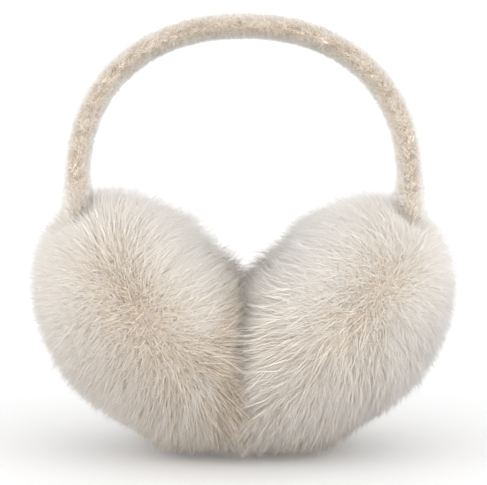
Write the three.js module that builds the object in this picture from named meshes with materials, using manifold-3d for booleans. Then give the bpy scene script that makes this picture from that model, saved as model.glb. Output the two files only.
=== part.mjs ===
// Fur earmuffs, in millimetres: an arched headband covered in short plush, whose two legs go down
// into two deep fur pads. The pads lean out from each other at the top, press together in the middle
// and stand on their lower rims. +X is side to side, +Y front to back and +Z up, and the origin is on
// the surface that they stand on, under the middle of the pair.
//
// Each pad is worked out in a frame of its own: x runs along its disc towards the headband, y runs
// front to back and z points at the ear. Its fur is one solid of tapered locks fused to a core, and
// the soft pile is pressed flat where it meets the other pad and where it stands.
import * as THREE from "three";
import { mergeVertices } from "three/addons/utils/BufferGeometryUtils.js";
import Module from "manifold-3d";

const wasm = await Module();
wasm.setup();

// Pads
const PAD_DIAMETER = 120; // over the tips of the fur
const PAD_THICKNESS = 83; // over the tips of the fur, from the outer side to the ear side
const PAD_TILT = 42; // degrees that the disc leans out from upright
const PILE = 13; // depth of the locks over the core
const FLOOR_SQUEEZE = 3; // pile pressed flat by the surface that it stands on
const MIDDLE_SQUEEZE = 15.6; // pile pressed flat by the other pad
const MEETING_GAP = 0.4; // between the two pressed sides
const EAR_HOLLOW_DIAMETER = 64; // the funnel in the fur round the ear lining, at its mouth

// Locks of fur
const LOCK_DETAIL = 3; // splits of a twenty-faced ball's edges, whose corners each grow a lock
const LOCK_LEAN = 4; // tips fall away from the rim
const LOCK_DROOP = 3; // tips hang down
const LOCK_SCATTER = 2.2; // tips wander from their even places
const SCATTER_WAVES = { along: 9, across: 7, through: 13 }; // how fast the wandering changes over the pad

// Ear linings
const LINING_DIAMETER = 54;
const LINING_THICKNESS = 6;
const LINING_EDGE = 2.5; // radius of the rounded edge
const LINING_CROWN = 1.5; // how far the middle bulges past the edge
const LINING_LEVEL = 19; // from the middle of the disc to the back of the lining

// Headband
const BAND_THICKNESS = 10; // as seen from the front, with its short pile
const BAND_DEPTH = 15; // front to back
const ARCH_RISE = 62; // of the middle line, from the top of the straight legs to the crown
const ARCH_FULLNESS = 2.2; // 2 is an ellipse, and more is squarer
const LEG_LENGTH = 24; // straight part, from the disc's middle plane up to the arch
const SEAT_INSET = 13.4; // from the pad's rim in to the leg's middle line, along the disc
const SEAT_DEPTH = 20; // how far a leg goes on down past the disc's middle plane
const FIT_GAP = 0.3; // between a piece and what it sits in

// Fineness of the facets
const BAND_STEPS = 40;
const BAND_SIDES = 6; // for each half of the oval
const CUTTER_SIDES = 24;
const ARC_STEPS = 2;
const CROWN_STEPS = 2;

// Sections of one lock between the valley round its foot and its tip. out is the share of the way
// from the core to the outline, and width the share of the foot's.
const LOCK_SECTIONS = [
  { out: 0, width: 1 },
  { out: 0.5, width: 0.86 },
  { out: 0.84, width: 0.44 },
  { out: 1, width: 0 },
];

const FUR_COLOUR = 0xe3dacd;
const PLUSH_COLOUR = 0xd9cbb8;
const LINING_COLOUR = 0xcbb9a2;

const padRadius = PAD_DIAMETER / 2;
const padHalf = PAD_THICKNESS / 2;
const tilt = THREE.MathUtils.degToRad(PAD_TILT);

// The tilted disc's reach, and so where its middle stands once the fur is pressed.
const reachAcross = Math.hypot(padRadius * Math.sin(tilt), padHalf * Math.cos(tilt));
const reachUp = Math.hypot(padRadius * Math.cos(tilt), padHalf * Math.sin(tilt));
const padCentre = new THREE.Vector3(MIDDLE_SQUEEZE - reachAcross, 0, reachUp - FLOOR_SQUEEZE);

// The legs stand upright where they enter the pads, so the pads set the headband's span.
const seat = padRadius - SEAT_INSET;
const legX = padCentre.x - seat * Math.sin(tilt);
const seatZ = padCentre.z + seat * Math.cos(tilt);
const legBottom = seatZ - SEAT_DEPTH;
const archBase = seatZ + LEG_LENGTH;

// Turns the pad's own frame into the object's, for the pad at low X.
const padFrame = new THREE.Matrix4()
  .makeBasis(
    new THREE.Vector3(-Math.sin(tilt), 0, Math.cos(tilt)),
    new THREE.Vector3(0, -1, 0),
    new THREE.Vector3(Math.cos(tilt), 0, Math.sin(tilt)),
  )
  .setPosition(padCentre);
const intoPad = padFrame.clone().invert();

// Closed geometry as a solid that can be joined and cut, and back again.
function solidOf(geometry) {
  const loose = geometry.index ? geometry.toNonIndexed() : geometry;
  const bare = new THREE.BufferGeometry();
  bare.setAttribute("position", loose.getAttribute("position"));
  const merged = mergeVertices(bare, 1e-3);
  const mesh = new wasm.Mesh({
    numProp: 3,
    vertProperties: merged.attributes.position.array,
    triVerts: new Uint32Array(merged.index.array),
  });
  return new wasm.Manifold(mesh);
}

function geometryOf(solid) {
  const mesh = solid.getMesh();
  const indexed = new THREE.BufferGeometry();
  indexed.setAttribute("position", new THREE.BufferAttribute(mesh.vertProperties, 3));
  indexed.setIndex(new THREE.BufferAttribute(mesh.triVerts, 1));
  const faceted = indexed.toNonIndexed();
  faceted.computeVertexNormals();
  return faceted;
}

// A closed outline of [radius, height] pairs turned about the pad's own z axis.
function turned(outline) {
  const points = outline.map(([radius, height]) => new THREE.Vector2(radius, height));
  return new THREE.LatheGeometry(points, CUTTER_SIDES).rotateX(Math.PI / 2);
}

// The headband's middle line: a straight leg, a full arch and a straight leg.
class BandLine extends THREE.Curve {
  getPoint(t) {
    const leg = archBase - legBottom;
    const arch = Math.PI * Math.hypot(legX, ARCH_RISE) * Math.SQRT1_2;
    const along = t * (2 * leg + arch);
    if (along <= leg) return new THREE.Vector3(legX, 0, legBottom + along);
    if (along >= leg + arch) return new THREE.Vector3(-legX, 0, archBase + leg + arch - along);
    const turn = ((along - leg) / arch) * Math.PI;
    const power = 2 / ARCH_FULLNESS;
    const across = Math.sign(Math.cos(turn)) * Math.abs(Math.cos(turn)) ** power;
    return new THREE.Vector3(legX * across, 0, archBase + ARCH_RISE * Math.sin(turn) ** power);
  }
}

// An oval tube along that line, made larger all round by spread.
function bandGeometry(spread) {
  const section = new THREE.Shape();
  section.absellipse(0, 0, BAND_DEPTH / 2 + spread, BAND_THICKNESS / 2 + spread, 0, 2 * Math.PI);
  return new THREE.ExtrudeGeometry(section, {
    extrudePath: new BandLine(),
    steps: BAND_STEPS,
    curveSegments: BAND_SIDES,
  });
}

// The point of an oblate shape that lies in a direction from the pad's middle.
function onShape(direction, radius, half) {
  return direction.clone().normalize().multiply(new THREE.Vector3(radius, radius, half));
}

// Where the tip of the lock at a ball's corner ends up. It leans away from the rim, most of all
// halfway to the middle of its side, droops, and wanders alike at the front and the back.
function tipOf(corner) {
  const offRim = new THREE.Vector3(0, 0, Math.sin(Math.PI * corner.z));
  const down = new THREE.Vector3(0, 0, -1).transformDirection(intoPad);
  const sideways = new THREE.Vector3(-corner.z, 0, corner.x);
  const wave =
    SCATTER_WAVES.along * corner.x +
    SCATTER_WAVES.across * corner.y ** 2 +
    SCATTER_WAVES.through * corner.z;
  const aim = corner
    .clone()
    .addScaledVector(offRim, LOCK_LEAN / padRadius)
    .addScaledVector(down, LOCK_DROOP / padRadius)
    .addScaledVector(sideways, (LOCK_SCATTER * Math.sin(wave)) / padRadius);
  return onShape(aim, padRadius, padHalf);
}

// The pad's whole pelt as one closed surface. Every corner of the ball grows a lock, and the valleys
// between locks lie on the core at the middles of the ball's faces.
function peltGeometry() {
  const ball = mergeVertices(
    new THREE.IcosahedronGeometry(1, LOCK_DETAIL).deleteAttribute("normal").deleteAttribute("uv"),
    1e-3,
  );
  const corners = [];
  for (let n = 0; n < ball.attributes.position.count; n += 1) {
    corners.push(new THREE.Vector3().fromBufferAttribute(ball.attributes.position, n));
  }
  const valleys = [];
  const faceBeside = new Map();
  for (let n = 0; n < ball.index.count; n += 3) {
    const face = [0, 1, 2].map((step) => ball.index.getX(n + step));
    const middle = new THREE.Vector3();
    for (const corner of face) middle.add(corners[corner]);
    faceBeside.set(`${face[0]} ${face[1]}`, valleys.length);
    faceBeside.set(`${face[1]} ${face[2]}`, valleys.length);
    faceBeside.set(`${face[2]} ${face[0]}`, valleys.length);
    valleys.push(onShape(middle, padRadius - PILE, padHalf - PILE));
  }
  const roots = corners.map((corner) => onShape(corner, padRadius - PILE, padHalf - PILE));
  const tips = corners.map(tipOf);

  // A point of one lock, at a section and on the side of one of its valleys.
  const at = (lock, valley, section) =>
    roots[lock]
      .clone()
      .lerp(tips[lock], section.out)
      .addScaledVector(valleys[valley].clone().sub(roots[lock]), section.width);

  const points = [];
  for (const [edge, left] of faceBeside) {
    const [lock, other] = edge.split(" ").map(Number);
    const right = faceBeside.get(`${other} ${lock}`);
    for (let n = 1; n < LOCK_SECTIONS.length; n += 1) {
      const low = LOCK_SECTIONS[n - 1];
      const high = LOCK_SECTIONS[n];
      points.push(at(lock, right, low), at(lock, left, low), at(lock, left, high));
      if (high.width > 0) {
        points.push(at(lock, right, low), at(lock, left, high), at(lock, right, high));
      }
    }
  }
  return new THREE.BufferGeometry().setFromPoints(points);
}

// What the pads press against, in the pad's own frame: the twin at X 0 and the surface at Z 0.
const CUTTER_SIZE = 4 * (padRadius + padHalf);
const twinSide = solidOf(
  new THREE.BoxGeometry(CUTTER_SIZE, CUTTER_SIZE, CUTTER_SIZE)
    .translate((CUTTER_SIZE - MEETING_GAP) / 2, 0, 0)
    .applyMatrix4(intoPad),
);
const underside = solidOf(
  new THREE.BoxGeometry(CUTTER_SIZE, CUTTER_SIZE, CUTTER_SIZE)
    .translate(0, 0, -CUTTER_SIZE / 2)
    .applyMatrix4(intoPad),
);

// The open hollow over the ear lining: its pocket, then a funnel out through the fur.
function hollowGeometry() {
  const pocket = LINING_DIAMETER / 2 + FIT_GAP;
  return turned([
    [0, LINING_LEVEL - FIT_GAP],
    [pocket, LINING_LEVEL - FIT_GAP],
    [pocket, LINING_LEVEL + LINING_THICKNESS],
    [EAR_HOLLOW_DIAMETER / 2, padHalf],
    [EAR_HOLLOW_DIAMETER / 2, padHalf + PILE],
    [0, padHalf + PILE],
  ]);
}

function furGeometry() {
  const socket = solidOf(bandGeometry(FIT_GAP).applyMatrix4(intoPad));
  const cut = solidOf(peltGeometry())
    .subtract(solidOf(hollowGeometry()))
    .subtract(socket)
    .subtract(twinSide)
    .subtract(underside);
  // The cuts part a few loose tips from the pelt, which are dropped.
  const largestFirst = cut.decompose().sort((one, other) => other.volume() - one.volume());
  return geometryOf(largestFirst[0]);
}

// A padded disc with a rounded edge and a slightly bulging face.
function liningGeometry() {
  const radius = LINING_DIAMETER / 2;
  const face = LINING_LEVEL + LINING_THICKNESS;
  const outline = [[0, LINING_LEVEL]];
  for (const edge of [
    { level: LINING_LEVEL + LINING_EDGE, from: -Math.PI / 2 },
    { level: face - LINING_EDGE, from: 0 },
  ]) {
    for (let step = 0; step <= ARC_STEPS; step += 1) {
      const turn = edge.from + ((Math.PI / 2) * step) / ARC_STEPS;
      outline.push([
        radius - LINING_EDGE * (1 - Math.cos(turn)),
        edge.level + LINING_EDGE * Math.sin(turn),
      ]);
    }
  }
  for (let step = 1; step <= CROWN_STEPS; step += 1) {
    const share = 1 - step / CROWN_STEPS;
    outline.push([radius * share, face + LINING_CROWN * (1 - share ** 2)]);
  }
  return geometryOf(solidOf(turned(outline)).subtract(twinSide));
}

const cloth = (color) => new THREE.MeshStandardMaterial({ color, roughness: 0.95, metalness: 0 });
const furMaterial = cloth(FUR_COLOUR);
const plushMaterial = cloth(PLUSH_COLOUR);
const liningMaterial = cloth(LINING_COLOUR);

function named(name, geometry, material) {
  const mesh = new THREE.Mesh(geometry, material);
  mesh.name = name;
  return mesh;
}

const earmuffs = new THREE.Group();
earmuffs.add(named("headband", bandGeometry(0), plushMaterial));

// The second side is the first one mirrored.
const fur = furGeometry();
const lining = liningGeometry();
for (const { name, mirror } of [
  { name: "left", mirror: 1 },
  { name: "right", mirror: -1 },
]) {
  const side = new THREE.Group();
  side.scale.x = mirror;
  const pad = new THREE.Group();
  pad.applyMatrix4(padFrame);
  pad.add(named(`${name}_fur`, fur, furMaterial));
  pad.add(named(`${name}_ear_lining`, lining, liningMaterial));
  side.add(pad);
  earmuffs.add(side);
}

export default earmuffs;
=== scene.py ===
# %% [markdown]
# # Fur earmuffs
# A pair of earmuffs is three soft things: a springy band in a sleeve of short plush, two round pads in
# deep fur, and a plush lining on the ear's side of each. They stand unworn, so the pads press together
# in the middle and flatten a little where they touch the floor. The solids and their places come from
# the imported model, and this lesson dresses them. Fur could be a bump on a smooth ball, but a bump can't
# make a soft outline. So every hair is a thin spike of its own, with thousands of them in one mesh.

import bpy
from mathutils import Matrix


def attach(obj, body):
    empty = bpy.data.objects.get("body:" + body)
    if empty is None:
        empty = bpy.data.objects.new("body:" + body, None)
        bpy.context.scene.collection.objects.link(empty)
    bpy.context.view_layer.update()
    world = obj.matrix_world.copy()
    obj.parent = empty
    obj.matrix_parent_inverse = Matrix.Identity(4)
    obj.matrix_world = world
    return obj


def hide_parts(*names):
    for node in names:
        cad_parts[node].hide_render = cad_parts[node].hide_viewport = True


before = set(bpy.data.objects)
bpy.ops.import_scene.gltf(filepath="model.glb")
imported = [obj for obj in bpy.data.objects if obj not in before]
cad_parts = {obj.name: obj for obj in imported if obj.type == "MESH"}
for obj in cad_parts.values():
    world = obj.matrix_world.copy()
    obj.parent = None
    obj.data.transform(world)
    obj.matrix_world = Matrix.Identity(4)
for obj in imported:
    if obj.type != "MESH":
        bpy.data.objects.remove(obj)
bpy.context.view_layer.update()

# %% [markdown]
# ## Where the pads are
# Each pad is a flattened ball that leans out at the top. These are the sizes that the solids were made
# from, and the places that follow are worked out in the same way, so the fur grows exactly where the
# solid pad is.

# %% Place the pads and the legs of the band
import math

import bpy
import numpy as np
from mathutils import Vector

MM = 0.001
PAD_RADIUS = 60 * MM  # over the tips of the fur
PAD_HALF = 41.5 * MM  # from the middle of the disc to the tips on either side
PAD_TILT = math.radians(42)  # the disc leans out from upright
FLOOR_SQUEEZE = 3 * MM  # how far the floor presses the pile in
MIDDLE_SQUEEZE = 15.6 * MM  # and how far the other pad does
SEAT_INSET = 13.4 * MM  # from the pad's rim in to the leg of the band
SEAT_DEPTH = 20 * MM  # how far the leg goes on down from there
LEG_LENGTH = 24 * MM  # and how far up to the arch

reach_across = math.hypot(PAD_RADIUS * math.sin(PAD_TILT), PAD_HALF * math.cos(PAD_TILT))
reach_up = math.hypot(PAD_RADIUS * math.cos(PAD_TILT), PAD_HALF * math.sin(PAD_TILT))
pad_middle = np.array([MIDDLE_SQUEEZE - reach_across, 0, reach_up - FLOOR_SQUEEZE])
seat = PAD_RADIUS - SEAT_INSET
leg_x = pad_middle[0] - seat * math.sin(PAD_TILT)
seat_z = pad_middle[2] + seat * math.cos(PAD_TILT)
arch_base = seat_z + LEG_LENGTH

# %% [markdown]
# ## From the pad's own directions to the object's
# A pad is easiest to describe lying flat: x along the disc towards the band, y front to back and z
# towards the ear. Three unit vectors turn that into the object's frame. Everything on a pad is made for
# the left one and mirrored for the right one, each with its own random seed, so no tuft repeats.

# %% Turn a pad's own points into the object's
ALONG = np.array([-math.sin(PAD_TILT), 0, math.cos(PAD_TILT)])
ACROSS = np.array([0, -1, 0])
EARWARD = np.array([math.cos(PAD_TILT), 0, math.sin(PAD_TILT)])
PAD_AXES = np.array([ALONG, ACROSS, EARWARD])
SIDES = [("left", 1, 11), ("right", -1, 23)]  # name, sign of x, seed


def from_pad(points):
    return points @ PAD_AXES + pad_middle


def into_pad_direction(direction):
    return PAD_AXES @ np.array(direction)


def mirrored(points, sign):
    return points * np.array([sign, 1, 1])


print("down, in the pad's own directions:", into_pad_direction([0, 0, -1]))

# %% [markdown]
# ## Meshes from arrays
# Hundreds of thousands of triangles are made fastest as arrays that are handed to Blender in one go.
# The map called OFBake holds two plain facts about each hair instead of a picture's place: how deep
# its dye is, and how far along it a point lies. The hair's colour is worked out from those two alone.

# %% Make a mesh of triangles
def triangle_mesh(name, points, triangles, facts=None):
    mesh = bpy.data.meshes.new(name)
    mesh.vertices.add(len(points))
    mesh.vertices.foreach_set("co", points.astype(np.float32).ravel())
    mesh.loops.add(triangles.size)
    mesh.loops.foreach_set("vertex_index", triangles.astype(np.int32).ravel())
    mesh.polygons.add(len(triangles))
    mesh.polygons.foreach_set("loop_start", np.arange(0, triangles.size, 3, dtype=np.int32))
    mesh.update(calc_edges=True)
    if facts is not None:
        layer = mesh.uv_layers.new(name="OFBake")
        layer.data.foreach_set("uv", facts[triangles.ravel()].astype(np.float32).ravel())
    mesh.polygons.foreach_set("use_smooth", np.full(len(triangles), True))
    mesh.validate()
    piece = bpy.data.objects.new(name, mesh)
    bpy.context.scene.collection.objects.link(piece)
    print(name, len(triangles), "triangles")
    return piece


# %% [markdown]
# ## A hair
# Real hair is round, but at this size three sides are enough, and they keep the mesh light. Each hair
# is a spike that is open only at its root, which is buried. It runs from a ring of three corners
# there, through another ring at its bend if it has one, to a point at the tip. All hairs of a piece
# have the same number of stops, so numpy can build them together.

# %% Join the corners of one hair
HAIR_SIDES = 3


def spike_triangles(stops):
    """The triangles between rings of corners, and those from the last ring to the tip."""
    triangles = []
    for stop in range(stops - 2):
        for corner in range(HAIR_SIDES):
            low = stop * HAIR_SIDES + corner
            low_next = stop * HAIR_SIDES + (corner + 1) % HAIR_SIDES
            triangles.append([low, low_next, low_next + HAIR_SIDES])
            triangles.append([low, low_next + HAIR_SIDES, low + HAIR_SIDES])
    tip = HAIR_SIDES * (stops - 1)
    for corner in range(HAIR_SIDES):
        low = (stops - 2) * HAIR_SIDES
        triangles.append([low + corner, low + (corner + 1) % HAIR_SIDES, tip])
    return np.array(triangles)


print("triangles of a straight hair", len(spike_triangles(2)), "and of a bent one", len(spike_triangles(3)))

# %% Build many hairs as one mesh
ALONG_X = 0.7  # a hair's sides are found from x, or from y where it runs along x more than this


def hair_piece(name, lines, widths, tones, pale=1.0, pale_root=0.0):
    """lines holds each hair's points from root to tip, widths its full width at each but the tip.

    pale_root and pale are where on the dye's ramp, from 0 to 1, a hair's root and tip lie."""
    count, stops = lines.shape[:2]
    heading = lines[:, 1] - lines[:, 0]
    heading /= np.linalg.norm(heading, axis=1, keepdims=True)
    helper = np.where(np.abs(heading[:, :1]) < ALONG_X, [[1.0, 0, 0]], [[0, 1.0, 0]])
    side = np.cross(heading, helper)
    side /= np.linalg.norm(side, axis=1, keepdims=True)
    other = np.cross(heading, side)
    spin = np.random.default_rng(len(lines)).uniform(0, 2 * math.pi, count)
    points = []
    facts = []
    for stop in range(stops - 1):
        for corner in range(HAIR_SIDES):
            turn = (spin + 2 * math.pi * corner / HAIR_SIDES)[:, None]
            offset = side * np.cos(turn) + other * np.sin(turn)
            points.append(lines[:, stop] + offset * widths[:, stop, None] / 2)
            place = pale_root + (1 - pale_root) * stop / (stops - 1)
            facts.append(np.stack([tones, pale * np.full(count, place)], 1))
    points.append(lines[:, -1])
    facts.append(np.stack([tones, pale * np.ones(count)], 1))
    starts = np.arange(count)[:, None, None] * len(points)
    return triangle_mesh(
        name,
        np.stack(points, 1).reshape(-1, 3),
        (starts + spike_triangles(stops)).reshape(-1, 3),
        np.stack(facts, 1).reshape(-1, 2),
    )


# %% [markdown]
# ## The camera
# The picture is taken from straight in front and a little above, with a long lens, so the two pads
# come out the same size. The lens follows from how much of the object's plane the picture takes in.

# %% Place the camera
VIEW_ELEVATION = math.radians(6)
VIEW_DISTANCE = 0.85
VIEW_WIDTH = 0.1948  # what the picture takes in from side to side at the middle of the object
VIEW_MIDDLE = Vector((0, 0, 0.0838))

camera_data = bpy.data.cameras.new("camera")
camera_data.lens = camera_data.sensor_width * VIEW_DISTANCE / VIEW_WIDTH
camera = bpy.data.objects.new("camera", camera_data)
back = Vector((0, -math.cos(VIEW_ELEVATION), math.sin(VIEW_ELEVATION)))
camera.location = VIEW_MIDDLE + back * VIEW_DISTANCE
camera.rotation_euler = (-back).to_track_quat("-Z", "Y").to_euler()
bpy.context.scene.collection.objects.link(camera)
bpy.context.scene.camera = camera
print("lens", round(camera_data.lens, 1), "mm")

# %% [markdown]
# ## The dye of a hair
# Hair of this kind is brown at the root and pale cream at the tip, and no two hairs are quite alike.
# A noise texture would paint across many hairs at once, so the colour comes from the two facts in the
# map instead: the place along the hair runs through a ramp, and the hair's own tone deepens what
# comes out. A soft sheen gives the velvety edge.

# %% Start a finish
def linear(red, green, blue):
    """A colour as it looks on a screen, from 0 to 255, in the light values that shaders use."""
    shares = np.array([red, green, blue]) / 255
    values = np.where(shares <= 0.04045, shares / 12.92, ((shares + 0.055) / 1.055) ** 2.4)
    return (*values, 1.0)


def start_finish(name, roughness, specular, sheen):
    material = bpy.data.materials.new(name)
    material.use_nodes = True
    shader = material.node_tree.nodes["Principled BSDF"]
    shader.inputs["Roughness"].default_value = roughness
    shader.inputs["Specular IOR Level"].default_value = specular
    shader.inputs["Sheen Weight"].default_value = sheen
    return material, material.node_tree.nodes, material.node_tree.links, shader


print("a cream of 243, 236, 226 on the screen is", linear(243, 236, 226)[:3], "in light")

# %% Finish for hair
def hair_finish(name, ramp_stops, deeper, sheen):
    """ramp_stops are (place along the hair, colour) from root to tip. A hair of tone 1 is dyed deeper."""
    material, nodes, links, shader = start_finish(name, 0.75, 0.25, sheen)
    shader.inputs["Sheen Roughness"].default_value = 0.5
    facts = nodes.new("ShaderNodeUVMap")
    facts.uv_map = "OFBake"
    parts = nodes.new("ShaderNodeSeparateXYZ")
    links.new(facts.outputs["UV"], parts.inputs["Vector"])
    ramp = nodes.new("ShaderNodeValToRGB")
    for place, colour in ramp_stops[1:-1]:
        ramp.color_ramp.elements.new(place)
    for stop, (place, colour) in zip(ramp.color_ramp.elements, ramp_stops):
        stop.position = place
        stop.color = colour
    links.new(parts.outputs["Y"], ramp.inputs["Fac"])
    dye = nodes.new("ShaderNodeMix")
    dye.data_type = "RGBA"
    dye.blend_type = "MULTIPLY"
    dye.inputs["B"].default_value = deeper
    links.new(parts.outputs["X"], dye.inputs["Factor"])
    links.new(ramp.outputs["Color"], dye.inputs["A"])
    links.new(dye.outputs["Result"], shader.inputs["Base Color"])
    return material


# %% Finish of the fur
FUR_RAMP = [
    (0.12, linear(178, 150, 120)),
    (0.36, linear(218, 200, 176)),
    (0.6, linear(243, 236, 226)),
    (1.0, linear(253, 252, 251)),
]
fur_finish = hair_finish("cream fur", FUR_RAMP, linear(212, 198, 181), 0.2)
print(fur_finish.name)

# %% [markdown]
# ## Even places on a flattened ball
# Scattering roots at random leaves bald spots and crowds. A golden spiral puts them evenly instead,
# once its turns are spaced by the area of the flattened ball, and a small jitter hides the spiral.

# %% Spread places over a flattened ball
GOLDEN_TURN = math.pi * (3 - math.sqrt(5))
LEVELS = 4001  # at which the girth of the ball is measured


def even_directions(count, radius, half, jitter, random):
    height = np.linspace(-1, 1, LEVELS)
    girth = np.sqrt((radius * height) ** 2 + half**2 * (1 - height**2))
    area = np.concatenate([[0], np.cumsum((girth[1:] + girth[:-1]) / 2)])
    level = np.interp((np.arange(count) + 0.5) / count, area / area[-1], height)
    turn = GOLDEN_TURN * np.arange(count)
    ring = np.sqrt(1 - level**2)
    directions = np.stack([ring * np.cos(turn), ring * np.sin(turn), level], 1)
    spacing = math.sqrt(4 * math.pi / count)
    directions += random.normal(0, jitter * spacing, directions.shape)
    return directions / np.linalg.norm(directions, axis=1, keepdims=True)


print("golden turn", round(math.degrees(GOLDEN_TURN), 1), "degrees")

# %% [markdown]
# ## Slow drifts
# Brushed fur lies in soft waves: neighbours lean alike, and the lean changes over a centimetre or
# two. A few sine waves with random headings add up to such a drift, without any noise texture.

# %% A drift that changes slowly from place to place
DRIFT_WAVES = 9


def drift(points, size, seed):
    """Three numbers for each point, seldom past 2 either way. size is about half a wave's length."""
    random = np.random.default_rng(seed)
    headings = random.normal(0, 1, (DRIFT_WAVES, 3)) * (math.pi / size)
    starts = random.uniform(0, 2 * math.pi, (DRIFT_WAVES, 3))
    total = np.zeros_like(points)
    for heading, start in zip(headings, starts):
        total += np.sin((points @ heading)[:, None] + start)
    return total / math.sqrt(DRIFT_WAVES / 2)


print("drift at the pad's middle:", drift(pad_middle[None], 34 * MM, 1)[0])

# %% [markdown]
# ## Fur gives way
# Soft pile doesn't pass through the floor or the leg of the band, and the two pads flatten each other.
# A simulation could press it, but for more than a hundred thousand hairs a pad a plain rule does as
# well. Near the middle plane and the floor, the depth that is left shrinks smoothly to nothing, and
# part of what is lost goes outward, as a squeezed cushion bulges.

# %% Press points against the twin and the floor
MIDDLE_GAP = 0.2 * MM  # each pad stays this far from the middle plane
MIDDLE_SOFTNESS = 1.5 * MM
FLOOR_SOFTNESS = 1 * MM
MIDDLE_SPLAY = 0.3  # how much of the lost depth goes outward
FLOOR_SPLAY = 0.15


def soft_limit(room, softness):
    """Room above the softness stays as it is, and less than that shrinks towards 0, never below it."""
    shrunk = softness * np.exp(np.minimum(room, softness) / softness - 1)
    return np.where(room < softness, shrunk, room)


def press(points, gap=MIDDLE_GAP):
    """gap is how far a point stays from the middle plane; below 0 it may cross by that much."""
    pressed = points.copy()
    room = -pressed[..., 0] - gap
    kept = soft_limit(room, MIDDLE_SOFTNESS)
    pressed[..., 0] = -(kept + gap)
    outward = pressed[..., 1:] - pad_middle[1:]
    outward /= np.linalg.norm(outward, axis=-1, keepdims=True)
    pressed[..., 1:] += outward * ((kept - room) * MIDDLE_SPLAY)[..., None]

    room = pressed[..., 2]
    kept = soft_limit(room, FLOOR_SOFTNESS)
    outward = pressed[..., :2] - pad_middle[:2]
    outward /= np.maximum(np.linalg.norm(outward, axis=-1, keepdims=True), MM)
    sideways = outward * ((kept - room) * FLOOR_SPLAY)[..., None]
    pressed[..., 0] = np.minimum(pressed[..., 0] + sideways[..., 0], -gap)
    pressed[..., 1] += sideways[..., 1]
    pressed[..., 2] = kept
    return pressed


print("5 mm past the middle plane becomes", press(np.array([[5 * MM, 10 * MM, 40 * MM]])))

# %% [markdown]
# ## Hairs end where the room ends
# A hair that is too long for its room isn't squashed. It bends aside, and from outside it only looks
# shorter. So each hair is drawn in until it ends at the middle plane or just over the floor, and a share
# of what it lost turns it outward. The hairs of the two pads comb into each other, so many end past
# the plane. Round the leg of the band the hairs part.

# %% Part the hairs round the leg of the band
BAND_HALF_THICKNESS = 5 * MM  # with its pile, as seen from the front
BAND_HALF_DEPTH = 7.5 * MM
CLEARANCE = 0.3 * MM  # between a piece and what it sits in
LEAST_DISTANCE = 0.05  # so that a hair in the very middle of the leg moves out too


def part_round_leg(points):
    parted = points.copy()
    across = (parted[..., 0] - leg_x) / (BAND_HALF_THICKNESS + CLEARANCE)
    deep = parted[..., 1] / (BAND_HALF_DEPTH + CLEARANCE)
    distance = np.maximum(np.hypot(across, deep), LEAST_DISTANCE)
    spread = np.where((distance < 1) & (parted[..., 2] > seat_z - SEAT_DEPTH), 1 / distance, 1)
    parted[..., 0] = leg_x + (parted[..., 0] - leg_x) * spread
    parted[..., 1] *= spread
    return parted


middle_of_leg = np.array([[leg_x, 1 * MM, seat_z]])
print("a point in the leg moves from", middle_of_leg, "to", part_round_leg(middle_of_leg))

# %% Draw hairs in at the middle plane and the floor
HAIR_SPLAY = {"left": 0.9, "right": 1}  # how much of the lost length turns a hair outward
GROUND_RAGGED = (0.3 * MM, 3.5 * MM)  # hairs end this far above the floor
BESIDE_PLANE = np.array([0, 1, 1])
BESIDE_FLOOR = np.array([1, 1, 0])


def shorten(lines, room, marks, splay):
    """room is each point's distance to the surface, below 0 past it.

    marks has a 1 for each direction along the surface, in which the hairs splay out."""
    start = np.maximum(room[:, :1], 0)
    past = np.maximum(-room[:, -1:], 0)
    share = np.where(past > 0, start / np.maximum(start + past, 1e-9), 1)[..., None]
    shorter = lines[:, :1] + (lines[:, 1:] - lines[:, :1]) * share
    outward = shorter - (lines[:, 1:] * (1 - marks) + pad_middle * marks)
    outward[..., 2] = np.minimum(outward[..., 2], 0)
    outward /= np.maximum(np.linalg.norm(outward, axis=-1, keepdims=True), MM)
    along = np.linspace(0, 1, lines.shape[1])[1:, None]
    shorter += outward * (past[..., None] * splay * along)
    return np.concatenate([lines[:, :1], shorter], 1)


def trim(lines, gap, side, random):
    """gap is how far from the middle plane each hair ends, below 0 past it."""
    trimmed = shorten(lines, -lines[..., 0] - gap, BESIDE_PLANE, HAIR_SPLAY[side])
    ground = random.uniform(*GROUND_RAGGED, (len(lines), 1))
    trimmed = shorten(trimmed, trimmed[..., 2] - ground, BESIDE_FLOOR, FLOOR_SPLAY)
    return part_round_leg(press(trimmed, gap))


# %% [markdown]
# ## The stuffed core
# Under the fur is a stuffed ball of knitted backing. A cushion in plain view would be swelled by a
# cloth simulation. Only glimpses of this one show between the hairs, so a smooth flattened ball will
# do. It is pressed like the fur, and on the ear's side it is cut off level to take the lining. Its
# finish is one fine noise, which tints it and also raises it like the loops of a knit.

# %% Finish of the backing
GRAIN_SHADE = 0.82  # the darker colour of the grain, as a share of the paler one


def cloth_finish(name, colour, bump_size, bump_depth):
    material, nodes, links, shader = start_finish(name, 0.9, 0.2, 0.2)
    place = nodes.new("ShaderNodeTexCoord")
    grain = nodes.new("ShaderNodeTexNoise")
    grain.inputs["Scale"].default_value = 1 / bump_size
    grain.inputs["Detail"].default_value = 4
    links.new(place.outputs["Object"], grain.inputs["Vector"])
    tint = nodes.new("ShaderNodeMix")
    tint.data_type = "RGBA"
    tint.inputs["A"].default_value = tuple(GRAIN_SHADE * value for value in colour[:3]) + (1,)
    tint.inputs["B"].default_value = colour
    links.new(grain.outputs["Fac"], tint.inputs["Factor"])
    links.new(tint.outputs["Result"], shader.inputs["Base Color"])
    bump = nodes.new("ShaderNodeBump")
    bump.inputs["Distance"].default_value = bump_depth
    links.new(grain.outputs["Fac"], bump.inputs["Height"])
    links.new(bump.outputs["Normal"], shader.inputs["Normal"])
    return material


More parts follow.
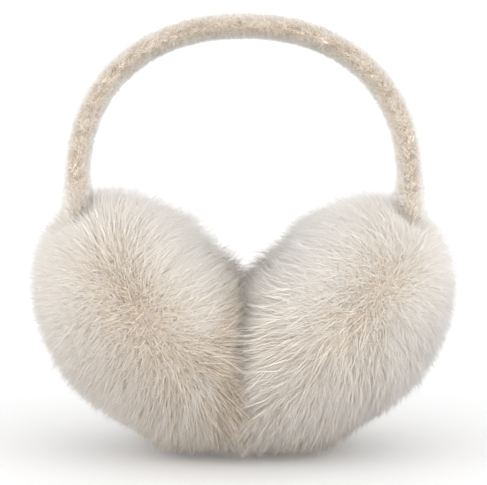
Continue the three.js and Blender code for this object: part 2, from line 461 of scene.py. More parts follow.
backing_finish = cloth_finish("brown backing", linear(226, 209, 186), 1.2 * MM, 0.6 * MM)
print(backing_finish.name)

# %% Make a globe of rings between two poles
BALL_RINGS = 44
BALL_SIDES = 72


def ball_triangles():
    """Every triangle faces out."""
    triangles = []
    last = 1 + BALL_RINGS * BALL_SIDES
    for side in range(BALL_SIDES):
        beside = (side + 1) % BALL_SIDES
        triangles.append([0, 1 + beside, 1 + side])
        for ring in range(BALL_RINGS - 1):
            low = 1 + ring * BALL_SIDES
            high = low + BALL_SIDES
            triangles.append([low + side, low + beside, high + beside])
            triangles.append([low + side, high + beside, high + side])
        high = 1 + (BALL_RINGS - 1) * BALL_SIDES
        triangles.append([high + side, high + beside, last])
    return np.array(triangles)


def ball_directions():
    level = -np.cos(math.pi * np.arange(1, BALL_RINGS + 1) / (BALL_RINGS + 1))
    turn = 2 * math.pi * np.arange(BALL_SIDES) / BALL_SIDES
    ring = np.sqrt(1 - level**2)[:, None]
    height = np.repeat(level[:, None], BALL_SIDES, 1)
    around = np.stack([ring * np.cos(turn), ring * np.sin(turn), height], 2)
    return np.concatenate([[[0, 0, -1]], around.reshape(-1, 3), [[0, 0, 1]]])


print("a globe has", len(ball_directions()), "corners")

# %% Make the cores
CORE_PILE = 8.5 * MM  # how deep the core lies under the tips
LINING_LEVEL = 19 * MM  # from the middle of the disc to the back of the lining

core_reach = np.array([PAD_RADIUS - CORE_PILE, PAD_RADIUS - CORE_PILE, PAD_HALF - CORE_PILE])
core_points = ball_directions() * core_reach
core_points[:, 2] = np.minimum(core_points[:, 2], LINING_LEVEL - CLEARANCE)
core_points = press(from_pad(core_points))
for name, sign, seed in SIDES:
    # mirroring turns a mesh inside out, so its triangles are turned back
    core = triangle_mesh(f"{name}_core", mirrored(core_points, sign), ball_triangles()[:, ::sign])
    core.data.materials.append(backing_finish)
    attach(core, "root")
    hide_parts(f"{name}_fur")

# %% [markdown]
# ## The way the fur lies
# On a real pad the hairs fan out from a parting, hang a little under their own weight, and lie in soft
# waves. They could be combed by hand with Blender's hair tools, but that doesn't tell a reader why a
# hair lies as it does. Here the way of each hair is a sum of plain pulls, one for each cause.

# %% The parting, the weight and the waves
OUTLINE = np.array([PAD_RADIUS, PAD_RADIUS, PAD_HALF])
FAN = np.array([0.85, 1, 1.55])  # hairs turn fastest where they leave the rim for the two faces
PARTING_PLACE = {"left": (0, 0, 0.08), "right": (0.2, 0, 0)}  # the hairs part off the rim's middle
BANDWARD = 0.5  # above the disc's middle they lean towards the band as well
COMBED = {"left": (0, 0, 0), "right": (0.3, 0, -0.12)}  # towards the other pad and down
DOWN = into_pad_direction([0, 0, -1])
DROOP = 0.28
EAR_SIDE_DROOP = 0.7  # how much more the hairs hang on the side of the ear
SEAM_DROOP = 0.42  # and how much more where they meet the other pad
SEAM_DROOP_WIDTH = 18 * MM
WAVE_SIZE = 34 * MM
WAVE_LEAN = 0.12


def unit(vectors):
    return vectors / np.linalg.norm(vectors, axis=1, keepdims=True)


def combed_ways(roots, directions, side, seed):
    hanging = DROOP * (1 + EAR_SIDE_DROOP * np.clip(directions[:, 2:], 0, 1))
    hanging += SEAM_DROOP * np.exp(-((from_pad(roots)[:, :1] / SEAM_DROOP_WIDTH) ** 2))
    fanned = (directions - np.array(PARTING_PLACE[side])) * FAN
    fanned[:, 0] += BANDWARD * np.maximum(directions[:, 0], 0)
    ways = unit(fanned) + DOWN * hanging + into_pad_direction(COMBED[side])
    ways += drift(roots, WAVE_SIZE, seed) * WAVE_LEAN
    return unit(ways)


on_rim = np.array([[1.0, 0, 0]])
print("a hair on top of the rim grows", combed_ways(on_rim * OUTLINE, on_rim, "left", 11)[0])

# %% [markdown]
# ## Round the ear, and on the rim
# Round the ear the pelt turns over the edge of a hollow, so the hairs there stand up and lean over its
# mouth. On the rim, where the fur of the two faces parts, single hairs stray every way.

# %% Turn the hairs in over the ear's hollow and let them stray
LINING_RADIUS = 27 * MM
MOUTH_REACH = 48 * MM  # within this of the disc's axis, hairs on the ear side turn up and inward
MOUTH_LEAN = 0.28
RIM_SCATTER = 2  # hairs on the rim stray this much more than elsewhere
RIM_WIDTH = 9 * MM
TOP_CALM = 0.7  # but that is mostly gone on top


def mouth_share(roots):
    """1 at the edge of the lining, shrinking to 0 further out on the ear side."""
    from_axis = np.hypot(roots[:, 0], roots[:, 1])
    share = np.clip((MOUTH_REACH - from_axis) / (MOUTH_REACH - LINING_RADIUS), 0, 1)
    return (share * (roots[:, 2] > 0))[:, None]


def growing_ways(roots, directions, side, scatter, seed):
    """scatter is how far hairs stray from their neighbours."""
    from_axis = np.hypot(roots[:, 0], roots[:, 1])[:, None]
    inward = np.concatenate([-roots[:, :2] / from_axis * MOUTH_LEAN, np.ones_like(from_axis)], 1)
    turned = mouth_share(roots)
    ways = combed_ways(roots, directions, side, seed) * (1 - turned) + inward * turned
    on_top = np.maximum(directions[:, :1], 0)
    loose = 1 + (RIM_SCATTER - 1) * np.exp(-((roots[:, 2:] / RIM_WIDTH) ** 2)) * (1 - TOP_CALM * on_top)
    ways += np.random.default_rng(seed + 1).normal(0, 1, roots.shape) * scatter * loose
    return unit(ways)


print("the lining's edge is", round((MOUTH_REACH - LINING_RADIUS) / MM), "mm inside the turning of the fur")

# %% [markdown]
# ## Where the hairs stand
# The pelt covers the whole pad but the place of the lining. A coat of hairs, and the tufts that it
# gathers in, are both spread over it in the same way, so one helper stands both.

# %% Stand hairs on the pelt
from types import SimpleNamespace


def on_pelt(roots):
    from_axis = np.hypot(roots[:, 0], roots[:, 1])
    return (from_axis > LINING_RADIUS) | (roots[:, 2] < 0)


def way_to_outline(roots, ways):
    """How far each hair grows until it reaches the pad's outline."""
    start = roots / OUTLINE
    step = ways / OUTLINE
    square = np.sum(step**2, 1)
    half = np.sum(start * step, 1)
    rest = np.sum(start**2, 1) - 1
    return ((np.sqrt(half**2 - square * rest) - half) / square)[:, None]


def stand(side, bed, count, jitter, scatter, seed, random):
    """bed holds half the width, depth and height of the flattened ball that the roots are on."""
    directions = even_directions(count, bed[0], bed[2], jitter, random)
    directions = directions[on_pelt(directions * bed)]
    roots = directions * bed
    ways = growing_ways(roots, directions, side, scatter, seed)
    to_outline = way_to_outline(roots, ways)
    return SimpleNamespace(
        side=side, bed=bed, seed=seed, directions=directions, roots=roots, ways=ways, to_outline=to_outline
    )


sample = stand("left", OUTLINE - 14 * MM, 500, 0, 0, 11, np.random.default_rng(1))
longest = round(sample.to_outline.max() / MM)
print(len(sample.roots), "of 500 hairs are on the pelt, up to", longest, "mm long")

# %% [markdown]
# ## How long the hairs are
# A furrier cuts the pelt to a round outline, but it doesn't stay so. Fur that stands free on top and
# round the ear's hollow fluffs up, and it wears short in front of the leg of the band. So each hair
# grows to the outline first, and these shares make it longer or shorter.

# %% Lengthen and shorten the fur from place to place
TOP_FLUFF = {"left": 0.36, "right": 0.22}  # how much longer the hairs are that stand free on top
MOUTH_FLUFF = {"left": 0.24, "right": 0.06}  # and those round the ear's hollow
LEG_WEAR = 0.75  # how much shorter the hairs are right in front of the leg of the band
LEG_WEAR_PLACE = np.array([leg_x - 1 * MM, -13 * MM])
LEG_WEAR_WIDTH = 8 * MM
CORNER_TRIM = 0.25  # the fur is cut round low down on the outer side
CORNER_LEVEL = 5 * MM
CORNER_START = 30 * MM
CORNER_SIZE = 15 * MM


def free_share(hairs, depth, recede):
    """How long each hair is beside its way to the outline. recede shortens the hairs that hang."""
    rise = hairs.rise[:, None]
    by_mouth = MOUTH_FLUFF[hairs.side] * mouth_share(hairs.roots)
    free = 1 + np.maximum(TOP_FLUFF[hairs.side] * rise**2, by_mouth)
    free -= recede * hairs.hang[:, None]
    from_leg = np.hypot(*(from_pad(hairs.roots + hairs.ways * depth)[:, :2] - LEG_WEAR_PLACE).T)
    free -= LEG_WEAR * np.exp(-((from_leg / LEG_WEAR_WIDTH) ** 2))[:, None] * rise
    low = np.exp(-(((hairs.outline[:, 2:] - CORNER_LEVEL) / CORNER_SIZE) ** 2))
    outer = np.clip((np.abs(hairs.outline[:, :1]) - CORNER_START) / CORNER_SIZE, 0, 1)
    free -= CORNER_TRIM * low * outer
    return free


# %% [markdown]
# ## Where the pads meet
# The furs of the two pads fill the valley between them. Hairs near it get longer, apart from rising ones,
# which would close the notch on top. Each hair also has a place of its own to end, from a few
# millimetres short of the middle plane to a centimetre past it.

# %% Find the hairs at the seam
SEAM_WIDTH = 7 * MM
SEAM_FILL = 1.1  # how much longer a tuft gets there at most
FILL_FADE = 1.3  # how fast that ends as the hairs rise
PATCH_LEVEL = 43 * MM  # at this height the seam's painted brown shade and its fill reach further out
PATCH_SIZE = 8 * MM
CROSSING = {"left": (-9 * MM, 4 * MM), "right": (-10 * MM, 2 * MM)}  # below 0 is past the middle plane


def seam_nearness(outline):
    """1 where a hair would reach the other pad, shrinking to 0 away from it."""
    patch = np.exp(-(((outline[:, 2] - PATCH_LEVEL) / PATCH_SIZE) ** 2))
    return np.exp(-((np.minimum(outline[:, 0], 0) / (SEAM_WIDTH * (1 + patch))) ** 2))


print("nearness 10 mm from the seam:", seam_nearness(np.array([[-10 * MM, 0, PATCH_LEVEL]])))

# %% [markdown]
# ## Tufts
# Hairs near each other cling together at their tips. Blender's own hair has clumps for this. In arrays
# it takes one more set of roots, those of the tufts: each hair finds the nearest, and its tip is drawn
# some of the way to where that tuft ends. Hairs of one tuft also share some of their dye.

# %% Gather hairs in tufts
from mathutils.kdtree import KDTree

TUFT_JITTER = 0.3
TUFT_PULL = (0.3, 1)  # some tufts are looser than others
HAIR_PULL = (0.5, 1)  # and so are some hairs in a tuft
FULLEST_PULL = 0.95
RISING_LOOSE = 0.4  # hairs that rise cling less, and those that hang cling more
BROWN_BIAS = 0.7  # below 1, more of the tufts take the painted brown shade than not
DAPPLE = 0.3  # how much the tufts differ in dye, and up to twice that where they hang


def nearest(places, centres):
    tree = KDTree(len(centres))
    for index, centre in enumerate(centres):
        tree.insert(centre, index)
    tree.balance()
    return np.array([tree.find(place)[1] for place in places])


def gather(hairs, layer, layers, random):
    """layer says how many tufts there are, how hard they pull, how far they stray and how uneven."""
    count, pull, stray, uneven = layer
    tufts = stand(hairs.side, hairs.bed, count, TUFT_JITTER, stray, hairs.seed, random)
    number = len(tufts.roots)
    mine = nearest(hairs.roots, tufts.roots)
    span = (tufts.to_outline * random.normal(1, uneven, (number, 1)))[mine] * hairs.free
    fill = random.uniform(0, SEAM_FILL, number)[mine] * hairs.filled
    heads = tufts.roots[mine] + tufts.ways[mine] * span * (1 + fill[:, None])
    hairs.brown = (hairs.brown + random.uniform(0, 1, number)[mine] ** BROWN_BIAS) / 2
    clinging = 1 + hairs.hang - RISING_LOOSE * hairs.rise
    share = random.uniform(*TUFT_PULL, number)[mine] * pull * clinging
    share = np.minimum(share * random.uniform(*HAIR_PULL, len(hairs.roots)), FULLEST_PULL)
    hairs.tips += (heads - hairs.tips) * share[:, None]
    dappled = DAPPLE * (1 + hairs.hang)
    hairs.tones += (random.uniform(0, 1, number) ** 2)[mine] * dappled / layers
    hairs.crossing = 0.5 * hairs.crossing + 0.5 * random.uniform(*CROSSING[hairs.side], number)[mine]


two_tufts = [[0, 0, 0], [0.05, 0, 0]]
print("a hair 60 mm out belongs to tuft number", nearest([[0.06, 0, 0]], two_tufts)[0])

# %% [markdown]
# ## Brown roots, pale tips, painted shade and painted light
# The fur is painted browner where shade falls: where the pads meet, just over the floor and beside the
# leg of the band. This painted shade also stands for the roots' brown that shows where hairs are pushed
# apart there. Tufts differ in it. Where the fur lies smooth, only pale tips show. The tone is painted
# paler as painted light on top and on the ear's side. On the right pad it is also paler towards its outer
# side, where it hangs and where it meets the other pad. So one number for each hair says how far up the
# ramp its tip gets, and its tone says how deep its dye is.

# %% Give each hair its dye, with painted shade and painted light
# Painted shade: how much browner the fur is painted where the pads meet, over the floor and beside the leg
# of the band.
SEAM_SHADE_BROWN = {"left": 0.75, "right": 0.3}
FLOOR_SHADE_BROWN = 0.6
FLOOR_SHADE_HEIGHT = 7 * MM
LEG_SHADE_BROWN = 0.5
LEG_SHADE_WIDTH = 9 * MM
BROWN_CONTRAST = 2.4  # how much the tufts differ in the painted brown shade
# Each pad's depth of dye. The two pads differ to even out how the lamps light them, which is painted light.
PAD_TONE_FOR_LIGHT = {"left": 1.18, "right": 1.28}
OUTER_PAINTED_LIGHT = {"left": 0, "right": 0.5}  # painted light: how much paler the fur gets towards the outer side
OUTER_START = 45 * MM  # from this far out
SEAM_PAINTED_LIGHT = {"left": 0, "right": 0.6}  # painted light, where it meets the other pad, against the valley's shade
TOP_PAINTED_LIGHT = 0.4  # painted light, up on the side of the band
HANG_PAINTED_LIGHT = {"left": 0, "right": 0.4}  # painted light, where it hangs
EAR_SIDE_PAINTED_LIGHT = 0.9  # and painted light on the side of the ear, against the shade there


def dye(hairs):
    """How far up the ramp each hair's tip gets, lowered as painted shade, and its tone, lightened as
    painted light.
    """
    # Painted shade: browner fur where the pads meet, over the floor and beside the leg, where shade falls.
    seam_shade = SEAM_SHADE_BROWN[hairs.side] * hairs.nearness
    height = np.maximum(hairs.outline[:, 2], 0)
    floor_shade = FLOOR_SHADE_BROWN * np.exp(-((height / FLOOR_SHADE_HEIGHT) ** 2))
    from_leg = np.hypot(hairs.outline[:, 0] - leg_x, hairs.outline[:, 1])
    beside = LEG_SHADE_BROWN * np.exp(-((from_leg / LEG_SHADE_WIDTH) ** 2)) * hairs.rise
    brown = np.clip(0.5 + (hairs.brown - 0.5) * BROWN_CONTRAST, 0, 1)
    pale = 1 - np.maximum.reduce([seam_shade, floor_shade, beside]) * brown
    out = np.abs(hairs.outline[:, 0])
    outer = np.clip((out - OUTER_START) / (PAD_RADIUS - OUTER_START), 0, 1)
    # Painted light: the tone is made paler by the largest of these.
    painted_lights = [
        OUTER_PAINTED_LIGHT[hairs.side] * outer * (1 - hairs.rise),
        SEAM_PAINTED_LIGHT[hairs.side] * hairs.nearness,
        TOP_PAINTED_LIGHT * hairs.directions[:, 0],
        HANG_PAINTED_LIGHT[hairs.side] * hairs.hang,
        EAR_SIDE_PAINTED_LIGHT * hairs.directions[:, 2],
    ]
    return pale, hairs.tones * PAD_TONE_FOR_LIGHT[hairs.side] * (1 - np.maximum.reduce(painted_lights))


# %% [markdown]
# ## One coat of hair
# A hair starts at its root on the pelt and ends near the pad's outline, drawn towards the head of its
# tuft. The longest hairs also bend: they leave the pelt upright and arch over, and one more point on
# the way is enough to show that.

# %% Grow a coat
HAIR_JITTER = 0.35
OWN_TONE = (0.05, 0.4)  # how much single hairs differ in dye
HANDLE_SHARE = 0.6  # how high over its root a bent hair's handle is, as a share of its length


def grow(side, coat, seed, random):
    """Every hair of one coat, in the left pad's own directions."""
    bed = OUTLINE - coat["depth"]
    hairs = stand(side, bed, coat["count"], HAIR_JITTER, coat["scatter"], seed, random)
    number = len(hairs.roots)
    hairs.outline = from_pad(hairs.roots + hairs.ways * hairs.to_outline)
    hairs.rise = np.clip(-hairs.ways @ DOWN, 0, 1)
    hairs.hang = np.clip(hairs.ways @ DOWN, 0, 1)
    hairs.nearness = seam_nearness(hairs.outline)
    hairs.filled = hairs.nearness * (1 - FILL_FADE * hairs.rise)
    hairs.free = free_share(hairs, coat["depth"], coat["recede"])
    long_share = random.uniform(*coat["reach"], number)[:, None]
    hairs.tips = hairs.roots + hairs.ways * hairs.to_outline * long_share * hairs.free
    length = np.linalg.norm(hairs.tips - hairs.roots, axis=1)
    hairs.tips += hairs.ways * (length * hairs.filled * SEAM_FILL / 2)[:, None]
    hairs.tones = random.uniform(*OWN_TONE, number)
    hairs.crossing = random.uniform(*CROSSING[side], number)
    hairs.brown = random.uniform(0, 1, number)
    for layer in coat["tufts"]:
        gather(hairs, layer, len(coat["tufts"]), random)
    return hairs


def bends(hairs):
    """The middle of each hair's arc, which is a curve with one handle straight over the root."""
    length = np.linalg.norm(hairs.tips - hairs.roots, axis=1, keepdims=True)
    handles = hairs.roots + unit(hairs.roots / hairs.bed**2) * length * HANDLE_SHARE
    return 0.25 * hairs.roots + 0.5 * handles + 0.25 * hairs.tips


# %% [markdown]
# ## The four coats
# Deep fur is short fine underfur that fills the gaps, guard hairs that make the surface, longer hairs
# that break it up, and a few flyaway ones that blur the outline. They differ only in their numbers, so
# they are rows of one table: how many there are, how deep their roots are, how far they reach as a
# share of the way to the outline, how far they stray, how much they recede where they hang, their
# layers of tufts, their width in millimetres, and how it tapers at each stop.

# %% The coats of fur
COATS = {
    "underfur": dict(
        count=44000, seed=0, depth=11 * MM, reach=(0.6, 0.9), scatter=0.42, recede=0.45,
        tufts=[(4000, 0.4, 0.08, 0.02)], width=(0.45, 0.6), taper=[1],
    ),
    "guard_hair": dict(
        count=62000, seed=5, depth=14 * MM, reach=(0.82, 1.06), scatter=0.09, recede=0,
        tufts=[(17000, 0.8, 0.09, 0.08), (2600, 0.3, 0.12, 0.05)], width=(0.28, 0.4), taper=[1],
    ),
    "long_hair": dict(
        count=11000, seed=9, depth=15 * MM, reach=(1.0, 1.22), scatter=0.1, recede=0,
        tufts=[(4200, 0.85, 0.1, 0.1)], width=(0.3, 0.42), taper=[1, 0.8],
    ),
    "flyaway_hair": dict(
        count=7000, seed=13, depth=13 * MM, reach=(1.0, 1.3), scatter=0.2, recede=0,
        tufts=[(2600, 0.8, 0.16, 0.1)], width=(0.2, 0.3), taper=[1],
    ),
}
print("hairs a pad, before the lining's place is left out:", sum(coat["count"] for coat in COATS.values()))

# %% Grow the fur of both pads
ROOT_PAINTED_LIGHT = {"left": 0.05, "right": 0.3}  # painted light: the right pad is a little paler down to the roots
RISING_SHY = 0.2  # rising hairs cross the middle plane a little less

for name, sign, seed in SIDES:
    for coat_name, coat in COATS.items():
        random = np.random.default_rng(seed + coat["seed"])
        hairs = grow(name, coat, seed + coat["seed"], random)
        stops = [hairs.roots, hairs.tips]
        if len(coat["taper"]) > 1:
            stops.insert(1, bends(hairs))
        gap = hairs.crossing * (1 - RISING_SHY * hairs.rise)
        lines = trim(from_pad(np.stack(stops, 1)), gap[:, None], name, random)
        widths = random.uniform(*coat["width"], (len(lines), 1)) * np.array([coat["taper"]]) * MM
        pale, tones = dye(hairs)
        placed = mirrored(lines, sign)
        piece = hair_piece(f"{name}_{coat_name}", placed, widths, tones, pale, ROOT_PAINTED_LIGHT[name])
        piece.data.materials.append(fur_finish)
        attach(piece, "root")
        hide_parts(f"{name}_fur")

# %% [markdown]
# ## The ear linings
# The side that meets the ear is a padded disc of shorter, browner plush. It lies at the bottom of the
# hollow in the fur, so it only shows from above and behind. It is a lens with a rounded edge, which is
# drawn by a formula rather than simulated, and it has a pile of short hairs of its own.

# %% Make the lining discs
LINING_THICKNESS = 6 * MM
LINING_PILE = 2 * MM
LINING_CROWN = 1.5 * MM  # how much thicker the disc is in the middle
EDGE_SHARPNESS = 10  # the power by which it rounds off: the higher, the later
cloth_radius = LINING_RADIUS - LINING_PILE
lining_cloth = cloth_finish("ear plush backing", linear(178, 154, 127), 0.8 * MM, 0.3 * MM)


def lining_height(radius):
    """The face of the cloth over the middle of the disc, rounded off at the edge."""
    share = np.minimum(radius / cloth_radius, 1)
    edge = 1 - share**EDGE_SHARPNESS
    return LINING_LEVEL + (LINING_THICKNESS - LINING_PILE) * edge + LINING_CROWN * (1 - share**2)


def lining_disc(name, sign):
    directions = ball_directions()
    points = directions * cloth_radius
    flat = np.hypot(points[:, 0], points[:, 1])
    points[:, 2] = np.where(directions[:, 2] > 0, lining_height(flat), LINING_LEVEL)
    placed = mirrored(press(from_pad(points)), sign)
    return triangle_mesh(name, placed, ball_triangles()[:, ::sign])


print("face of the cloth in the middle and at its edge:", lining_height(0), lining_height(cloth_radius))

# %% Grow the pile of a lining
LINING_COUNT = 7000
LINING_RAMP = [
    (0.0, linear(168, 145, 120)),
    (1.0, linear(222, 208, 190)),
]
lining_finish = hair_finish("ear plush", LINING_RAMP, linear(226, 214, 198), 0.3)
EDGE_LEAN = 6  # the power by which the pile leans out towards the edge
LINING_WAVE = 6 * MM
LINING_WAVE_LEAN = 0.35
LINING_SCATTER = 0.25
LINING_LENGTHS = (0.8, 1.2)  # as shares of the pile
LINING_HAIR = 0.42 * MM


def lining_pile(name, sign, seed):
    random = np.random.default_rng(seed)
    share = np.sqrt((np.arange(LINING_COUNT) + 0.5) / LINING_COUNT)
    turn = GOLDEN_TURN * np.arange(LINING_COUNT)
    radius = share * cloth_radius
    roots = np.stack([radius * np.cos(turn), radius * np.sin(turn), lining_height(radius)], 1)
    lean = np.stack([np.cos(turn), np.sin(turn), np.zeros(LINING_COUNT)], 1) * (share[:, None] ** EDGE_LEAN)
    lean = lean + drift(roots, LINING_WAVE, seed + 1) * LINING_WAVE_LEAN
    lean = lean + random.normal(0, LINING_SCATTER, roots.shape)
    lean[:, 2] = 1
    tips = roots + unit(lean) * LINING_PILE * random.uniform(*LINING_LENGTHS, (LINING_COUNT, 1))
    lines = mirrored(press(from_pad(np.stack([roots, tips], 1))), sign)
    widths = np.full((LINING_COUNT, 1), LINING_HAIR)
    return hair_piece(name, lines, widths, random.uniform(0, 1, LINING_COUNT))


# %% Line both pads
LINING_SEED = 40

for name, sign, seed in SIDES:
    disc = lining_disc(f"{name}_lining_cloth", sign)
    disc.data.materials.append(lining_cloth)
    pile = lining_pile(f"{name}_lining_pile", sign, seed + LINING_SEED)
    pile.data.materials.append(lining_finish)
    for piece in (disc, pile):
        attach(piece, "root")
        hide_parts(f"{name}_ear_lining")

# %% [markdown]
# ## The line of the band
# The band is a sleeve of short dense plush over a springy strip. A bent strip makes a full, even arch,
# and its ends run straight down into the pads. A curve drawn by hand would do for that, but a squared
# circle between two straight legs takes only a rise and a fullness, and its length can be measured.

# %% The line of the band
ARCH_RISE = 62 * MM
ARCH_FULLNESS = 2.2  # 2 is an ellipse, and more is squarer
ARCH_STEPS = 2000

leg_bottom = seat_z - SEAT_DEPTH
arch_turn = np.linspace(0, math.pi, ARCH_STEPS)
power = 2 / ARCH_FULLNESS
arch_x = leg_x * np.sign(np.cos(arch_turn)) * np.abs(np.cos(arch_turn)) ** power
arch_z = arch_base + ARCH_RISE * np.abs(np.sin(arch_turn)) ** power
arch = np.stack([arch_x, arch_z], 1)
line = np.concatenate([[[leg_x, leg_bottom]], arch, [[-leg_x, leg_bottom]]])
steps = np.hypot(*np.diff(line, axis=0).T)
line_length = np.concatenate([[0], np.cumsum(steps)])
print("band length", round(line_length[-1] / MM), "mm")

# %% Find places on the sleeve's oval
def on_line(along):
    return np.interp(along, line_length, line[:, 0]), np.interp(along, line_length, line[:, 1])


def on_band(along, around, shrink):
    """Points on the sleeve's oval, and the way out of it there."""
    x, z = on_line(along)
    next_x, next_z = on_line(along + MM)
    last_x, last_z = on_line(along - MM)
    ahead_x = next_x - last_x
    ahead_z = next_z - last_z
    length = np.hypot(ahead_x, ahead_z)
    ahead_x, ahead_z = ahead_x / length, ahead_z / length
    thick = BAND_HALF_THICKNESS - shrink
    deep = BAND_HALF_DEPTH - shrink
    out = np.cos(around) * thick
    front = np.sin(around) * deep
    points = np.stack([x - ahead_z * out, front, z + ahead_x * out], -1)
    away_x = -ahead_z * np.cos(around) / thick
    away_z = ahead_x * np.cos(around) / thick
    away = np.stack([away_x, np.sin(around) / deep, away_z], -1)
    return points, away / np.linalg.norm(away, axis=-1, keepdims=True)


print("crown of the band", on_band(line_length[-1:] / 2, np.zeros(1), 0)[0][0])

# %% [markdown]
# ## The sleeve
# The sleeve's skin is a smooth oval tube along the line, closed at both ends. It is knitted backing
# again, and the plush covers it almost everywhere, so a plain tube and a fine grain are enough.

# %% Make the sleeve's skin
BAND_PILE = 1.6 * MM
BAND_RINGS = 200
BAND_AROUND = 28
sleeve_finish = cloth_finish("beige plush backing", linear(236, 225, 210), 0.8 * MM, 0.3 * MM)

ring_places = np.linspace(0, line_length[-1], BAND_RINGS)
side_turns = 2 * math.pi * np.arange(BAND_AROUND) / BAND_AROUND
skin_points, _ = on_band(
    np.repeat(ring_places, BAND_AROUND), np.tile(side_turns, BAND_RINGS), BAND_PILE
)
end_middles = np.array([[leg_x, 0, leg_bottom], [-leg_x, 0, leg_bottom]])
skin_points = np.concatenate([skin_points, end_middles])
triangles = []
for side in range(BAND_AROUND):
    beside = (side + 1) % BAND_AROUND
    for ring in range(BAND_RINGS - 1):
        low = ring * BAND_AROUND
        high = low + BAND_AROUND
        triangles.append([low + side, high + side, high + beside])
        triangles.append([low + side, high + beside, low + beside])
    last = (BAND_RINGS - 1) * BAND_AROUND
    triangles.append([side, beside, len(skin_points) - 2])
    triangles.append([last + beside, last + side, len(skin_points) - 1])
sleeve = triangle_mesh("headband_sleeve", skin_points, np.array(triangles))
sleeve.data.materials.append(sleeve_finish)

# %% [markdown]
# ## The nap of the plush
# Plush is a carpet of short hairs. They lean along the band, up both legs towards the crown, and their
# nap changes direction every few millimetres, which makes plush look mottled. Where the band goes
# into the fur the pile is longer, so that no bare edge shows.

# %% Lay the nap
PLUSH_COUNT = 38000
PLUSH_SEED = 5
AROUND_JITTER = 0.1
NAP_ALONG = 0.5  # how far the pile leans along the band
NAP_SIZE = 4 * MM
NAP_LEAN = 0.3
NAP_SCATTER = 0.18

random = np.random.default_rng(PLUSH_SEED)
count = np.arange(PLUSH_COUNT)
along = (count + random.uniform(0, 1, PLUSH_COUNT)) / PLUSH_COUNT * line_length[-1]
around = (count * GOLDEN_TURN + random.normal(0, AROUND_JITTER, PLUSH_COUNT)) % (2 * math.pi)
roots, away = on_band(along, around, BAND_PILE)
ahead, _ = on_band(along + MM, around, BAND_PILE)
nap = unit(ahead - roots) * NAP_ALONG * np.cos(math.pi * along / line_length[-1])[:, None]
nap += drift(roots, NAP_SIZE, PLUSH_SEED + 1) * NAP_LEAN + random.normal(0, NAP_SCATTER, roots.shape)
heading = unit(away + nap - away * np.sum(away * nap, axis=1, keepdims=True))
print("the pile leans", round(math.degrees(np.arccos(np.mean(np.sum(heading * away, 1))))), "degrees")

# %% Give the pile its length
FOOT_FLARE = 0.6  # how much longer the pile is where the band goes into the fur
FOOT_LEVEL = 17 * MM
FOOT_HEIGHT = 6 * MM
PLUSH_LENGTHS = (1.4, 1.75)  # as shares of the pile's depth, for hairs that lean
PLUSH_WIDTHS = (0.26, 0.38)

from_end = np.minimum(along, line_length[-1] - along) - SEAT_DEPTH - FOOT_LEVEL
flare = 1 + FOOT_FLARE * np.exp(-((np.maximum(from_end, 0) / FOOT_HEIGHT) ** 2))[:, None]
tips = roots + heading * BAND_PILE * random.uniform(*PLUSH_LENGTHS, (PLUSH_COUNT, 1)) * flare
widths = random.uniform(*PLUSH_WIDTHS, (PLUSH_COUNT, 1)) * MM
print("longest pile", round(np.linalg.norm(tips - roots, axis=1).max() / MM, 1), "mm")

# %% [markdown]
# ## The dye of the plush
# The pile is flecked with deeper hairs along the front and the back. Towards the rims the flecks fade,
# a painted highlight that makes the rims look lit, and they also fade where the pile flares at the foot.

# %% Fleck the plush and make it
PLUSH_RAMP = [
    (0.2, linear(212, 200, 184)),
    (0.6, linear(243, 238, 231)),
    (1.0, linear(250, 249, 247)),
]
plush_finish = hair_finish("beige plush", PLUSH_RAMP, linear(200, 187, 172), 0.4)
FLECK_SIZE = 1.1 * MM
FLECK_TONE = 0.62
FLECK_DEPTH = 0.3  # how far the flecks differ from it
FLECK_SCATTER = 0.16  # and how far single hairs differ from their fleck
RIM_HIGHLIGHT_TONE = 0.2  # how much of the tone is left at the rims, which are painted lighter as a highlight
RIM_HIGHLIGHT_SHARPNESS = 5

fleck = FLECK_TONE + FLECK_DEPTH * drift(roots, FLECK_SIZE, PLUSH_SEED + 2)[:, 0]
fleck = fleck + random.normal(0, FLECK_SCATTER, PLUSH_COUNT)
# Painted highlight: the flecks fade towards the rims, so the rims look lit.
fleck *= RIM_HIGHLIGHT_TONE + (1 - RIM_HIGHLIGHT_TONE) * np.abs(np.sin(around)) ** RIM_HIGHLIGHT_SHARPNESS
fleck *= (2 - flare[:, 0]) ** 2
plush = hair_piece("headband_plush", np.stack([roots, tips], 1), widths, np.clip(fleck, 0, 1))
plush.data.materials.append(plush_finish)
for piece in (sleeve, plush):
    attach(piece, "root")
    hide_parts("headband")

# %% [markdown]
# ## The floor
# The photograph is a high-key one: white all round, with a soft grey shadow where the pads stand. The
# floor is far larger than the view, so its edge never shows. It glows a little, which lifts it to
# white without making it so pale that it lights up the undersides of the pads. Light among pale hairs
# needs many bounces, or the fur turns grey.

# %% Lay the floor
bpy.context.scene.view_settings.view_transform = "Standard"
bpy.context.scene.cycles.diffuse_bounces = 12
bpy.context.scene.cycles.max_bounces = 16
FLOOR_SIZE = 60
FLOOR_GREY = 0.72
FLOOR_GLOW = 0.09

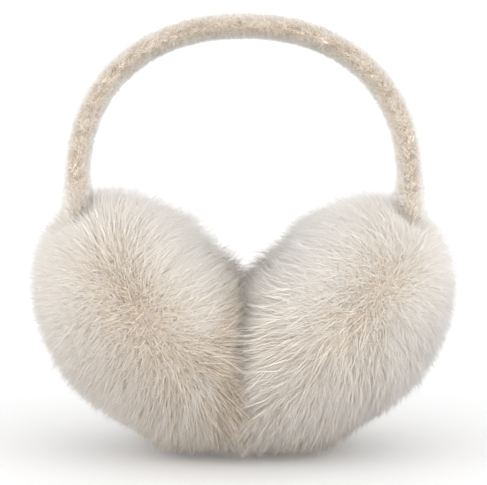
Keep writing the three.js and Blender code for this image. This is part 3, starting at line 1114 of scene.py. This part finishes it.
bpy.ops.mesh.primitive_plane_add(size=FLOOR_SIZE, location=(0, 0, 0))
floor = bpy.context.object
floor.name = "floor"
floor_finish = bpy.data.materials.new("white floor")
floor_finish.use_nodes = True
floor_shader = floor_finish.node_tree.nodes["Principled BSDF"]
floor_shader.inputs["Base Color"].default_value = (FLOOR_GREY, FLOOR_GREY, FLOOR_GREY, 1)
floor_shader.inputs["Emission Color"].default_value = (1, 1, 1, 1)
floor_shader.inputs["Emission Strength"].default_value = FLOOR_GLOW
floor_shader.inputs["Roughness"].default_value = 0.9
floor.data.materials.append(floor_finish)
print("floor", FLOOR_SIZE, "m across")

# %% [markdown]
# ## The sky
# A studio tent lights everything evenly. Here that is a white sky, brighter at the horizon than
# overhead, because a sky of one strength blows out the tops of the pads while the valley between
# them stays dark.

# %% Set the sky
SKY_AT_HORIZON = 1.45
SKY_OVERHEAD = 0.95

world = bpy.data.worlds.new("white sky")
bpy.context.scene.world = world
world.use_nodes = True
sky = world.node_tree.nodes["Background"]
sky.inputs["Color"].default_value = (1, 1, 1, 1)
way = world.node_tree.nodes.new("ShaderNodeTexCoord")
way_parts = world.node_tree.nodes.new("ShaderNodeSeparateXYZ")
fade = world.node_tree.nodes.new("ShaderNodeMapRange")
fade.inputs["To Min"].default_value = SKY_AT_HORIZON
fade.inputs["To Max"].default_value = SKY_OVERHEAD
world.node_tree.links.new(way.outputs["Generated"], way_parts.inputs["Vector"])
world.node_tree.links.new(way_parts.outputs["Z"], fade.inputs["Value"])
world.node_tree.links.new(fade.outputs["Result"], sky.inputs["Strength"])
print("sky from", SKY_AT_HORIZON, "to", SKY_OVERHEAD)

# %% [markdown]
# ## The lamps
# Two broad lamps stand low in front, one on each side, and shape the pads. A smaller one close to the
# camera's line lights the valley where they meet. A wide sun stands for each, since its light is the
# same all over the object, and its width makes the shadows soft.

# %% Set the lamps
LAMPS = [
    # name, where it stands, width in degrees, strength
    ("left lamp", (-1, -1.1, 0.1), 80, 2.2),
    ("right lamp", (1, -1.1, 0.1), 80, 2.4),
    ("front lamp", (-0.1, -1, 0.15), 40, 0.85),
]
for name, place, width, strength in LAMPS:
    lamp_data = bpy.data.lights.new(name, "SUN")
    lamp_data.angle = math.radians(width)
    lamp_data.energy = strength
    lamp = bpy.data.objects.new(name, lamp_data)
    lamp.location = place
    lamp.rotation_euler = (Vector(place) - VIEW_MIDDLE).to_track_quat("Z", "Y").to_euler()
    bpy.context.scene.collection.objects.link(lamp)
    print(name, "strength", strength)
